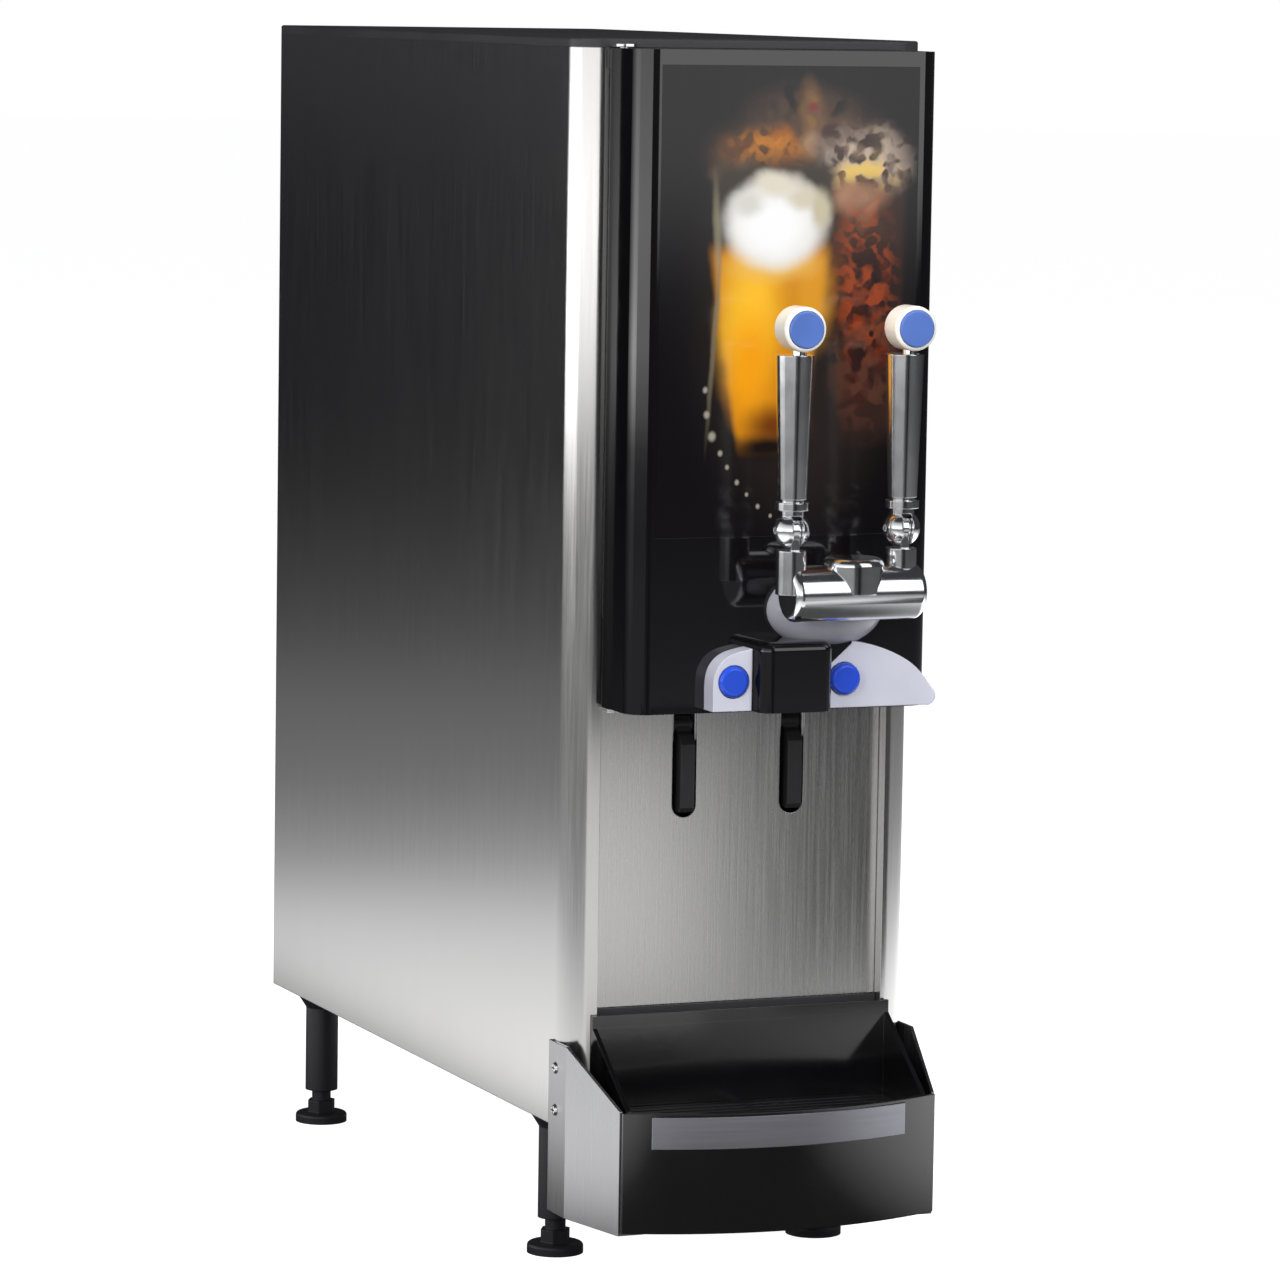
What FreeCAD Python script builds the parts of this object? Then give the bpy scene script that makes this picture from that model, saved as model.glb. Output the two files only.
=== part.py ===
import FreeCAD, Part
import math
import os

# A two-flavour counter-top cold drink dispenser. Millimetres, +Z up, the front faces -Y.
# The origin is on the counter, under the middle of the overall box.

# Driving dimensions
total_height = 813.0
leg_height = 100.0
cabinet_width = 246.0
cabinet_depth = 592.0
corner_radius = 21.0
sheet = 1.5
cap_height = 6.0
station_pitch = 77.0
door_width = 211.0
door_bottom = 381.0
door_top = 807.0
door_thickness = 55.0
door_gap = 3.0
tap_reach = 104.0
tap_bar_radius = 18.0
tap_dome_radius = 20.0
tap_offset = 28.5
tap_bar_z = 462.0
handle_pivot_z = 503.0
badge_z = 632.0
button_z = 402.5
splash_bottom = 179.0
splash_top = 379.0
splash_recess = 10.0
tray_bottom = 45.3
tray_front_top = 124.0
tray_back_top = 176.0
tray_corner_reach = 69.5
tray_bow_reach = 94.0
tray_corner_x = 111.0

# Places worked out from them
overall_depth = cabinet_depth + tap_reach + tap_dome_radius
back = overall_depth / 2
front = back - cabinet_depth
half = cabinet_width / 2
column_x = half - corner_radius
body_top = total_height - cap_height
door_front = front - door_gap - door_thickness
door_back = front - door_gap
door_half = door_width / 2
door_wall = 4.0
hinge_x = -97.0
hinge_y = front - 10.0
station_x = {"left": -station_pitch / 2, "right": station_pitch / 2}
tap_x = {"left": tap_offset - 43.5, "right": tap_offset + 33.5}
button_x = {"left": -40.0, "right": 37.5}
tap_y = front - tap_reach
foot_spots = {
    "front_left": (-95.0, front + 86.0),
    "front_right": (95.0, front + 86.0),
    "rear_left": (-95.0, back - 31.0),
    "rear_right": (95.0, back - 31.0),
}
compartment_bottom = 452.0
compartment_top = 780.0
lever_pivot = (front + 20.0, 364.0)
fan_axis_z = 218.0
pump_z = 482.0

X_AXIS = FreeCAD.Vector(1, 0, 0)
Y_AXIS = FreeCAD.Vector(0, 1, 0)
Z_AXIS = FreeCAD.Vector(0, 0, 1)


def vec(x, y, z):
    return FreeCAD.Vector(x, y, z)


def box(x0, x1, y0, y1, z0, z1):
    return Part.makeBox(x1 - x0, y1 - y0, z1 - z0, vec(x0, y0, z0))


def rod_x(x0, x1, y, z, radius):
    return Part.makeCylinder(radius, x1 - x0, vec(x0, y, z), X_AXIS)


def rod_y(x, y0, y1, z, radius):
    return Part.makeCylinder(radius, y1 - y0, vec(x, y0, z), Y_AXIS)


def rod_z(x, y, z0, z1, radius):
    return Part.makeCylinder(radius, z1 - z0, vec(x, y, z0), Z_AXIS)


def mirrored(shape):
    return shape.mirror(vec(0, 0, 0), X_AXIS)


def turned(shape, centre, axis, angle):
    copy = shape.copy()
    copy.rotate(centre, axis, angle)
    return copy


def prism(points, direction):
    """Extrude a closed outline of straight runs."""
    return Part.Face(Part.makePolygon(points + [points[0]])).extrude(direction)


def rounded(shape, radius, chosen):
    """Round the edges that the test picks."""
    edges = [edge for edge in shape.Edges if chosen(edge)]
    return shape.makeFillet(radius, edges)


def runs_along(edge, axis):
    ends = edge.Vertexes
    if len(ends) != 2:
        return False
    run = ends[1].Point.sub(ends[0].Point)
    return run.Length > 0 and abs(run.normalize().dot(axis)) > 0.999


def on_face(edge, axis, value):
    """True when the whole edge lies in the plane where the axis coordinate has this value."""
    limits = edge.BoundBox
    low = {"x": limits.XMin, "y": limits.YMin, "z": limits.ZMin}[axis]
    high = {"x": limits.XMax, "y": limits.YMax, "z": limits.ZMax}[axis]
    return abs(low - value) < 0.05 and abs(high - value) < 0.05


def group(shapes):
    return Part.makeCompound([solid for shape in shapes for solid in shape.Solids])


def save(name, shape):
    shape.exportStep(os.path.join("parts", name + ".step"))


def tube(points, radius, bend):
    """A round tube along straight runs that are joined by tangent arcs."""
    spots = [vec(*point) for point in points]
    edges = []
    start = spots[0]
    for before, corner, after in zip(spots, spots[1:], spots[2:]):
        into = corner.sub(before).normalize()
        out = after.sub(corner).normalize()
        half_turn = math.acos(max(-1.0, min(1.0, into.dot(out)))) / 2
        reach = bend * math.tan(half_turn)
        first = corner - into * reach
        last = corner + out * reach
        towards = (out - into).normalize()
        middle = corner + towards * (bend / math.cos(half_turn) - bend)
        edges.append(Part.LineSegment(start, first).toShape())
        edges.append(Part.Arc(first, middle, last).toShape())
        start = last
    edges.append(Part.LineSegment(start, spots[-1]).toShape())
    path = Part.Wire(edges)
    direction = spots[1].sub(spots[0])
    section = Part.Wire(Part.makeCircle(radius, spots[0], direction))
    return path.makePipeShell([section], True, True)


# ---------------------------------------------------------------- cabinet

def corner_slab(inset, z0, z1):
    """Everything inside the left wall's rounded outline, set in from its outside."""
    x_out = -half + inset
    y_curve = front + corner_radius
    quarter = rod_z(-column_x, y_curve, z0, z1, corner_radius - inset)
    quarter = quarter.common(box(-half, -column_x, front, y_curve, z0, z1))
    return quarter.fuse(box(x_out, -column_x, y_curve, back, z0, z1)).removeSplitter()


def side_panel():
    """Left wall: flat side, rounded front column, and a return that the splash sheet meets."""
    return_depth = 14.0
    inside = corner_slab(sheet, leg_height, body_top)
    jamb = box(-column_x - sheet, -column_x, front, front + return_depth, leg_height, body_top)
    rear_lip = box(-half, -half + 12.0, back - sheet, back, leg_height, body_top)
    return corner_slab(0, leg_height, body_top).cut(inside.cut(jamb).cut(rear_lip)).removeSplitter()


def full_slab(inset, z0, z1):
    left = corner_slab(inset, z0, z1)
    middle = box(-column_x, column_x, front + inset, back - inset, z0, z1)
    ends = box(-half, half, back - inset, back + 1, z0, z1)
    slab = left.fuse([mirrored(left), middle]).removeSplitter()
    return slab.cut(ends) if inset else slab


def base_pan():
    """Folded pan that carries the machine; its upturned edges stand inside the walls."""
    fold = 22.0
    outer = full_slab(sheet, leg_height, leg_height + fold)
    inner = full_slab(2 * sheet, leg_height + sheet, leg_height + fold + 1)
    pan = outer.cut(inner)
    corner = box(-column_x - sheet, -column_x, front, front + 14.0, leg_height - 1, leg_height + fold + 1)
    pan = pan.cut([corner, mirrored(corner)])
    for x, y in foot_spots.values():
        pan = pan.cut(rod_z(x, y, leg_height - 1, leg_height + sheet + 1, 4.0))
    return pan


def top_panel():
    """Moulded black cap over the walls."""
    cap = full_slab(0, body_top, total_height)
    cap = cap.cut(full_slab(3.0, body_top - 1, total_height - 3.0))
    return rounded(cap, 1.5, lambda edge: on_face(edge, "z", total_height))


def rear_panel():
    """Removable back sheet with two banks of air slots and holes for the services."""
    y0 = back - 12.0
    panel = box(-half + sheet, half - sheet, y0, y0 + sheet, leg_height + 22.2, body_top - 0.2)
    slot_length, slot_height, slot_pitch = 84.0, 5.0, 15.0
    for bottom, count in ((130.0, 13), (640.0, 8)):
        for row in range(count):
            z = bottom + row * slot_pitch
            for x in (-50.0, 50.0):
                panel = panel.cut(box(x - slot_length / 2, x + slot_length / 2, y0 - 1, y0 + 3,
                                      z, z + slot_height))
    panel = panel.cut(box(-84.0, -56.0, y0 - 1, y0 + 3, 370.0, 390.0))
    panel = panel.cut(box(-33.0, -17.0, y0 - 1, y0 + 3, 369.0, 391.0))
    return panel.cut(rod_y(60.0, y0 - 1, y0 + 3, 380.0, 9.0))


def front_frame():
    """Black frame round the cold compartment, which the door closes against."""
    y0, y1 = front + 0.2, front + 9.8
    frame = box(-column_x + 0.2, column_x - 0.2, y0, y1, 380.5, body_top - 0.2)
    frame = frame.cut(box(-88.0, 88.0, y0 - 1, y1 + 1, compartment_bottom, compartment_top))
    keeper = box(84.0, 93.0, y0 - 1, y1 + 1, 399.0, 425.0)
    frame = frame.cut(keeper)
    for x in station_x.values():
        frame = frame.cut(rod_y(x, y0 - 1, y1 + 1, 402.0, 6.0))
    return frame


def splash_panel():
    """Stainless sheet behind the cups, with a round-ended slot for each cup lever."""
    y0 = front + splash_recess
    y1 = y0 + 1.2
    edge_x = column_x - 0.2
    slot_half = 8.5
    slot_bottom = 303.0
    panel = box(-edge_x, edge_x, y0, y1, splash_bottom, splash_top)
    lip = box(-edge_x, edge_x, y0, y0 + 12.0, splash_bottom, splash_bottom + 1.2)
    panel = panel.fuse(lip)
    for x in station_x.values():
        z_round = slot_bottom + slot_half
        panel = panel.cut(rod_y(x, y0 - 1, y1 + 1, z_round, slot_half))
        panel = panel.cut(box(x - slot_half, x + slot_half, y0 - 1, y1 + 1, z_round, splash_top + 1))
    return panel.removeSplitter()


def lower_front_panel():
    """Black sheet that closes the cabinet behind the tray."""
    return box(-column_x + 0.2, column_x - 0.2, front + 7.8, front + 9.8, leg_height + 22.2, 178.8)


def cold_liner():
    """White insulated box that holds the drink containers, with the shelf that they stand on."""
    wall = 16.0
    side_wall = 13.5
    y0 = front + 9.8
    outer = box(-88 - side_wall, 88 + side_wall, y0, front + 306.0, compartment_bottom - wall,
                compartment_top + wall)
    cavity = box(-88, 88, y0 - 1, front + 290.0, compartment_bottom, compartment_top)
    shelf = box(-88, 88, front + 24.0, front + 276.0, 513.0, 517.0)
    for x in (-60.0, -20.0, 20.0, 60.0):
        shelf = shelf.cut(box(x - 12, x + 12, front + 150.0, front + 264.0, 512.0, 518.0))
    return outer.cut(cavity).fuse(shelf)


def hinge_brackets():
    """Two steel plates on the cabinet, each with the pin that the door turns on."""
    pin_radius = 3.0
    plates = []
    for plate_z, pin_z0, pin_z1 in ((377.6, 378.0, 392.0), (807.6, 796.0, 809.0)):
        plate = box(hinge_x - 6, hinge_x + 8, hinge_y - 6, front, plate_z, plate_z + 2.0)
        plate = rounded(plate, 5.0, lambda edge: runs_along(edge, Z_AXIS)
                        and edge.BoundBox.YMax < hinge_y)
        plates.append(plate.fuse(rod_z(hinge_x, hinge_y, pin_z0, pin_z1, pin_radius)))
    return group(plates)


# ---------------------------------------------------------------- legs

def legs():
    """Flared leg tubes bolted under the pan."""
    made = []
    for x, y in foot_spots.values():
        flare = Part.makeCone(12.0, 21.0, 14.0, vec(x, y, leg_height - 14.0), Z_AXIS)
        leg = flare.fuse(rod_z(x, y, 24.0, leg_height - 13.0, 12.0))
        leg = leg.fuse(rod_z(x, y, leg_height - 0.5, leg_height + 4.0, 3.6))
        made.append(leg.cut(rod_z(x, y, 23.0, 82.0, 7.1)).removeSplitter())
    return group(made)


def foot(x, y):
    """Levelling foot: rubber-shod disc, hexagon and threaded stem."""
    disc = rod_z(x, y, 0.0, 7.0, 19.0)
    disc = rounded(disc, 2.5, lambda edge: on_face(edge, "z", 7.0) and len(edge.Vertexes) == 1)
    corners = [vec(x + 10.5 * math.cos(math.radians(60 * k)),
                   y + 10.5 * math.sin(math.radians(60 * k)), 6.5) for k in range(6)]
    hexagon = prism(corners, vec(0, 0, 9.5))
    return disc.fuse([hexagon, rod_z(x, y, 15.0, 76.0, 7.0)]).removeSplitter()


# ---------------------------------------------------------------- door

def hinge_boss(z0, z1):
    return box(-door_half + 0.5, hinge_x + 8, hinge_y - 9, door_back - 2.0, z0, z1)


def door_shell():
    """Gloss black door moulding: rounded front corners, open back, window for the picture."""
    shell = box(-door_half, door_half, door_front, door_back, door_bottom, door_top)
    shell = rounded(shell, 14.0, lambda edge: runs_along(edge, Z_AXIS)
                    and on_face(edge, "y", door_front))
    shell = rounded(shell, 6.0, lambda edge: runs_along(edge, Z_AXIS)
                    and on_face(edge, "y", door_back) and edge.BoundBox.XMax < 0)
    side_wall = 3.5
    cavity = box(-door_half + side_wall, door_half - side_wall, door_front + door_wall,
                 door_back + 1, door_bottom + side_wall, door_top - side_wall)
    cavity = rounded(cavity, 10.0, lambda edge: runs_along(edge, Z_AXIS)
                     and on_face(edge, "y", door_front + door_wall))
    shell = shell.cut(cavity)
    shell = shell.fuse([hinge_boss(door_bottom + 1, 397.0), hinge_boss(793.5, door_top - 1)])
    shell = shell.cut(rod_z(hinge_x, hinge_y, door_bottom - 1, 393.0, 3.05))
    shell = shell.cut(rod_z(hinge_x, hinge_y, 795.0, door_top + 1, 3.05))
    nozzle_mouth = box(-60, 60, front - 50, door_back + 1, door_bottom - 1, door_bottom + 4)
    panel_seat = box(-90.1, 90.1, door_front - 1, door_front + 2.5, 494.9, 797.1)
    window = box(-80, 80, door_front - 1, door_front + door_wall + 1, 505, 787)
    shell = shell.cut(nozzle_mouth).cut(panel_seat).cut(window)
    shell = shell.cut(rod_y(tap_offset, door_front - 1, door_front + 6, tap_bar_z, 12.1))
    shell = shell.cut(rod_x(door_half - 5, door_half + 1, front - 25.0, 416.0, 8.1))
    return shell.removeSplitter()


def graphic_panel():
    """Clear acrylic panel, printed on its back, that the lamp board lights."""
    return box(-90, 90, door_front, door_front + 2.5, 495, 797)


def light_board():
    """White lamp board behind the picture, with a grid of raised lamps."""
    board = box(-80, 80, front - 49.5, front - 47.5, 505, 787)
    lamps = [box(x - 2.5, x + 2.5, front - 51, front - 49, z - 2.5, z + 2.5)
             for x in (-60, -20, 20, 60) for z in (530, 580, 630, 680, 730, 770)]
    return board.fuse(lamps)


def door_liner():
    """White pan that closes the back of the door over the compartment."""
    back_plate = box(-101.8, 101.8, front - 7.0, front - 4.0, 438.0, 793.0)
    shelf = box(-101.8, 101.8, front - 46.0, front - 7.0, 438.0, 441.0)
    rib = box(-70.0, 70.0, front - 12.0, front - 6.5, 560.0, 564.0)
    return back_plate.fuse([shelf, rib]).removeSplitter()


def door_gasket():
    """Rubber seal round the back of the door."""
    seal = box(-99.0, 99.0, front - 4.0, front - 0.4, 441.0, 791.0)
    return seal.cut(box(-91.5, 91.5, front - 5.0, front, 449.0, 783.0))


def egg(x, y, z, half_x, half_y, half_z):
    """Ellipsoid with these half axes."""
    matrix = FreeCAD.Matrix()
    matrix.scale(half_x, half_y, half_z)
    shape = Part.makeSphere(1.0).transformGeometry(matrix)
    shape.translate(vec(x, y, z))
    return shape


hood_left, hood_right = -27.0, 24.0
apron_x = 25.0
apron_bottom = 383.5
apron_half = 79.5
apron_rise = 44.0


def pod_solid():
    """Egg-shaped bulge on the door behind the tap bar."""
    pod = egg(tap_offset, door_front, 447.0, 40.0, 31.0, 25.5)
    return pod.common(box(-door_half, door_half, door_front - 60, door_front, 400, 500))


def apron_slab(inset, y0, y1):
    """Arched plate of the apron, drawn in by inset, from y0 in front to y1."""
    rim = [(-79.5, 0), (-79.5, 14.5), (-77.5, 26.5), (-71, 34.5), (-59, 39), (-35, 42.5), (0, 44),
           (27, 41.7), (49, 34.3), (65, 24), (75, 12), (78.4, 5), (76.5, 1.5), (71, 0)]
    shrink_x, shrink_z = 1 - inset / apron_half, 1 - inset / apron_rise
    points = [vec(apron_x + x * shrink_x, y0, apron_bottom + z * shrink_z) for x, z in rim]
    arch = Part.BSplineCurve()
    arch.interpolate(points)
    outline = Part.Wire([arch.toShape(), Part.makeLine(points[-1], points[0])])
    return Part.Face(outline).extrude(vec(0, y1 - y0, 0))


def hood_wing():
    """Dark wedge of the hood above the right button."""
    corners = [(20, 406.5), (23, 409), (42, 425.5), (42, 429), (20, 429)]
    return prism([vec(x, door_front - 16.5, z) for x, z in corners], vec(0, 16.5, 0))


def apron():
    """Pale arched cover at the foot of the door, open behind."""
    depth = 15.0
    cover = apron_slab(0.0, door_front - depth, door_front)
    cover = cover.cut(apron_slab(3.0, door_front - depth + 3, door_front + 1))
    cover = cover.cut(box(hood_left - 0.3, hood_right + 0.3, door_front - 40, door_front + 1,
                          apron_bottom - 1, 440))
    for x in button_x.values():
        cover = cover.cut(rod_y(x, door_front - 20, door_front + 1, button_z, 10.9))
    return cover.cut([pod_solid(), hood_wing()])


def nozzle_hood():
    """Black cover block between the buttons."""
    hood = box(hood_left, hood_right, door_front - 32, door_front, apron_bottom, 429)
    hood = rounded(hood, 9.0, lambda edge: runs_along(edge, Z_AXIS)
                   and on_face(edge, "y", door_front - 32))
    hood = rounded(hood, 6.0, lambda edge: on_face(edge, "z", 429)
                   and edge.BoundBox.YMin < door_front - 1 and not on_face(edge, "y", door_front))
    hood = hood.fuse(hood_wing())
    hood = hood.cut(box(hood_left + 3.5, hood_right - 3.5, door_front - 28, door_front + 1,
                        apron_bottom - 1, 415))
    return hood.cut(pod_solid()).removeSplitter()


def button_switches():
    """Switch bodies behind the push buttons."""
    return group([rod_y(x, door_front - 3.4, door_front, button_z, 8.0) for x in button_x.values()])


def push_button(x, reach):
    """Domed round button cap that travels in the apron's hole."""
    cap = rod_y(x, door_front - reach, door_front - 7.0, button_z, 10.5)
    return rounded(cap, 3.0, lambda edge: on_face(edge, "y", door_front - reach)
                   and len(edge.Vertexes) == 1)


def escutcheon():
    """Rounded pod that carries the tap bar in front of the door."""
    pod = pod_solid().cut(rod_x(-60, 110, tap_y, tap_bar_z, tap_bar_radius))
    return pod.cut(rod_y(tap_offset, door_front - 60, door_front + 1, tap_bar_z, 12.1))


def tap_body():
    """Chrome cross bar on a shank, with a domed cap and a lug for each handle."""
    bar = rod_x(tap_offset - 46.0, tap_offset + 46.0, tap_y, tap_bar_z, tap_bar_radius)
    bar = rounded(bar, 5.0, lambda edge: len(edge.Vertexes) == 1)
    shank = rod_y(tap_offset, tap_y, front - 48.0, tap_bar_z, 12.0)
    nut = rod_y(tap_offset, front - 54.0, front - 49.6, tap_bar_z, 18.0)
    dome = rod_z(tap_offset, tap_y, tap_bar_z, 485.0, tap_dome_radius)
    dome = rounded(dome, 5.0, lambda edge: on_face(edge, "z", 485.0) and len(edge.Vertexes) == 1)
    body = bar.fuse([shank, nut, dome])
    for x in tap_x.values():
        stub = rod_z(x, tap_y, tap_bar_z, handle_pivot_z - 12.8, 10.0)
        stem = box(x - 3, x + 3, tap_y - 6, tap_y + 6, handle_pivot_z - 14, handle_pivot_z)
        eye = rod_x(x - 3, x + 3, tap_y, handle_pivot_z, 8.0)
        body = body.fuse([stub, stem, eye])
        body = body.cut(rod_x(x - 4, x + 4, tap_y, handle_pivot_z, 2.5))
    return body.removeSplitter()


def handle_pins():
    return group([rod_x(x - 9.5, x + 9.5, tap_y, handle_pivot_z, 2.5) for x in tap_x.values()])


crown_radius = 4.6
crown_y = tap_y - 6.5
crown_top = 621.5


def tap_handle(x):
    """Tapered chrome handle with a forked ball at its foot."""
    ball = Part.makeSphere(12.0, vec(x, tap_y, handle_pivot_z))
    neck = rod_z(x, tap_y, handle_pivot_z, 526.0, 8.0)
    collar = rod_z(x, tap_y, 516.0, 521.0, 11.0)
    grip = Part.makeCone(9.5, 12.5, 92.0, vec(x, tap_y, 523.0), Z_AXIS)
    crown = rod_z(x, crown_y, 614.0, crown_top, crown_radius)
    handle = ball.fuse([neck, collar, grip, crown])
    fork_gap = box(x - 3.4, x + 3.4, tap_y - 20, tap_y + 20, handle_pivot_z - 15, handle_pivot_z + 9.5)
    handle = handle.cut(fork_gap)
    return handle.cut(rod_x(x - 15, x + 15, tap_y, handle_pivot_z, 2.55)).removeSplitter()


def badge_cap(x):
    """Cream knob on top of the handle, with a shallow seat for the badge."""
    cap = rod_y(x, tap_y - 17.5, tap_y + 3.0, badge_z, 14.5)
    cap = rounded(cap, 3.0, lambda edge: len(edge.Vertexes) == 1)
    cap = cap.cut(rod_y(x, tap_y - 18.5, tap_y - 16.0, badge_z, 12.2))
    return cap.cut(rod_z(x, crown_y, 600.0, crown_top, crown_radius))


def badge(x):
    """Plain blue disc that tells the two taps apart from the rest of the trim."""
    disc = rod_y(x, tap_y - 19.0, tap_y - 16.0, badge_z, 12.0)
    return rounded(disc, 1.2, lambda edge: on_face(edge, "y", tap_y - 19.0)
                   and len(edge.Vertexes) == 1)


def lock_barrel():
    """Cam lock in the door's right side; its cam turns into the frame's keeper hole."""
    lock_y, lock_z = front - 25.0, 416.0
    barrel = rod_x(90.0, door_half, lock_y, lock_z, 8.0)
    flange = rod_x(door_half + 0.1, door_half + 2.4, lock_y, lock_z, 10.5)
    core = rod_x(door_half - 1.0, door_half + 2.0, lock_y, lock_z, 7.0)
    cam = box(86.5, 90.0, lock_y - 6.0, lock_y + 6.0, lock_z - 28.5, lock_z + 6.0)
    keyway = box(door_half + 0.9, door_half + 3.0, lock_y - 0.8, lock_y + 0.8, lock_z - 4, lock_z + 4)
    return barrel.fuse([flange, core, cam]).cut(keyway).removeSplitter()


# ---------------------------------------------------------------- dispensing

def nozzles():
    """Two mixing nozzles that stand out of the frame into the foot of the door."""
    made = []
    for x in station_x.values():
        nozzle_y = front - 36.0
        block = box(x - 11, x + 11, front - 46.0, front + 0.2, 393.0, 413.0)
        tip = Part.makeCone(8.5, 11.0, 8.0, vec(x, nozzle_y, 386.0), Z_AXIS)
        spigot = rod_y(x, front, front + 9.8, 402.0, 5.9)
        nozzle = block.fuse([tip, spigot])
        bore = rod_z(x, nozzle_y, 380.0, 405.0, 5.0).fuse(rod_y(x, nozzle_y, front + 20, 402.0, 4.0))
        made.append(nozzle.cut(bore).removeSplitter())
    return group(made)


def cup_lever(x):
    """Black rocker that a cup pushes back through its slot."""
    y, z = lever_pivot
    outline = [(y - 5, z + 6), (y + 5, z + 6), (y + 5, z - 16), (y - 2, z - 44), (y - 7, z - 57),
               (y - 14, z - 57), (y - 16, z - 54), (y - 16, z - 12), (y - 12, z - 6), (y - 8, z - 4)]
    arm = prism([vec(x - 5, py, pz) for py, pz in outline], vec(10, 0, 0))
    boss = rod_x(x - 6.5, x + 6.5, y, z, 7.0)
    return arm.fuse(boss).cut(rod_x(x - 10, x + 10, y, z, 2.05)).removeSplitter()


def lever_bracket():
    """Folded bracket behind the splash sheet, with ears, a pin and a snap switch for each lever."""
    y, z = lever_pivot
    rail = box(-60, 60, front + 44.0, front + 46.0, 330, 379)
    pieces = [rail]
    for x in station_x.values():
        for side in (-1, 1):
            ear = box(x + side * 9 - 1.5, x + side * 9 + 1.5, front + 11.4, front + 44.0, 354, 374)
            pieces.append(ear)
        pieces.append(rod_x(x - 10.5, x + 10.5, y, z, 2.0))
        pieces.append(box(x - 4, x + 4, front + 32.0, front + 44.0, 332, 350))
    return pieces[0].fuse(pieces[1:]).removeSplitter()


# ---------------------------------------------------------------- tray

def tray_cheek():
    """Left stainless side of the tray bay, folded in at the foot to carry the tray."""
    z0, z_back = 43.0, 157.0
    bend_y = front - 4.0
    tip_y = front - tray_corner_reach + 3.6
    outer = [(-125, front + 26), (-125, bend_y), (-tray_corner_x - 1, tip_y)]
    inner = [(-tray_corner_x + 1, tip_y), (-123, bend_y), (-123, front + 26)]
    plate = prism([vec(x, y, z0) for x, y in outer + inner], vec(0, 0, z_back - z0))
    foot_edge = [(-tray_corner_x + 0.5, tip_y), (-94, tip_y), (-94, front + 24), (-123.5, front + 24),
                 (-123.5, bend_y)]
    flange = prism([vec(x, y, z0) for x, y in foot_edge], vec(0, 0, 2.0))
    slope = prism([vec(-200, front - 2, z_back + 1), vec(-200, tip_y - 1, tray_front_top),
                   vec(-200, tip_y - 1, z_back + 1)], vec(190, 0, 0))
    return plate.fuse(flange).cut(slope).removeSplitter()


def bow_solid(inset, z0, z1):
    """Tray outline in plan, extruded: straight back and sides, bowed front."""
    side_x = 106.5 - inset
    corner_x = tray_corner_x - inset if inset == 0 else side_x
    y_back = front - 1.0 - inset
    y_corner = front - tray_corner_reach + inset
    y_apex = front - tray_bow_reach + inset
    y_wing = y_corner + 3.0
    points = [vec(-corner_x, y_corner, z0), vec(-side_x, y_back, z0), vec(side_x, y_back, z0),
              vec(corner_x, y_corner, z0)]
    if inset == 0:
        points[1:1] = [vec(-corner_x, y_wing, z0), vec(-side_x, y_wing, z0)]
        points[-1:-1] = [vec(side_x, y_wing, z0), vec(corner_x, y_wing, z0)]
    edges = [Part.LineSegment(a, b).toShape() for a, b in zip(points, points[1:])]
    edges.append(Part.Arc(points[-1], vec(0, y_apex, z0), points[0]).toShape())
    return Part.Face(Part.Wire(edges)).extrude(vec(0, 0, z1 - z0))


grille_bottom = 108.0


def drip_tray():
    """Black moulded tray with a bowed front, raised back and sloping side wings."""
    tray = bow_solid(0, tray_bottom, tray_back_top)
    tray = tray.cut(bow_solid(3.0, grille_bottom, tray_back_top + 1))
    tray = tray.cut(bow_solid(7.0, tray_bottom + 3.0, grille_bottom + 1))
    y_wing = front - 64.0
    above = prism([vec(-200, y_wing, tray_front_top), vec(-200, front - 3.9, tray_back_top - 8),
                   vec(-200, front - 3.9, tray_back_top + 2), vec(-200, front - 120, tray_back_top + 2),
                   vec(-200, front - 120, tray_front_top)], vec(400, 0, 0))
    return tray.cut(above).removeSplitter()


def cup_grille():
    """Lift-out grille that cups stand on, cut with long drain slots."""
    grille = bow_solid(3.6, grille_bottom, grille_bottom + 5.0)
    slot_pitch = 9.0
    for row in range(8):
        y = front - 12.0 - row * slot_pitch
        reach = 94.0 if row < 6 else 94.0 - 20.0 * (row - 5)
        for x0, x1 in ((-reach, -3.0), (3.0, reach)):
            grille = grille.cut(box(x0, x1, y - 2.2, y + 2.2, grille_bottom - 1, grille_bottom + 6))
    return grille


def tray_label():
    """Plain silver band along the tray's bowed front."""
    proud = 1.0
    chord = tray_corner_x
    rise = tray_bow_reach - tray_corner_reach
    radius = (chord ** 2 + rise ** 2) / (2 * rise)
    centre_y = front - tray_bow_reach + radius
    ring = rod_z(0, centre_y, 101.0, 122.0, radius + proud).cut(rod_z(0, centre_y, 100, 123, radius))
    return ring.common(box(-94, 84, front - 120, front - 60, 100, 123))


# ---------------------------------------------------------------- inside the cabinet

def compressor():
    """Sealed refrigeration compressor on its foot plate."""
    y = back - 215.0
    shell = rod_z(0, y, 118.0, 225.0, 62.0)
    crown = egg(0, y, 225.0, 62.0, 62.0, 32.0)
    plate = box(-80, 80, y - 40, y + 40, 112.0, 118.5)
    studs = [rod_z(x, y + dy, leg_height + sheet, 113.0, 7.0) for x in (-68, 68) for dy in (-28, 28)]
    port = rod_z(40, y + 20, 225, 268, 4.0)
    return shell.fuse([crown, plate, port] + studs).removeSplitter()


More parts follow.
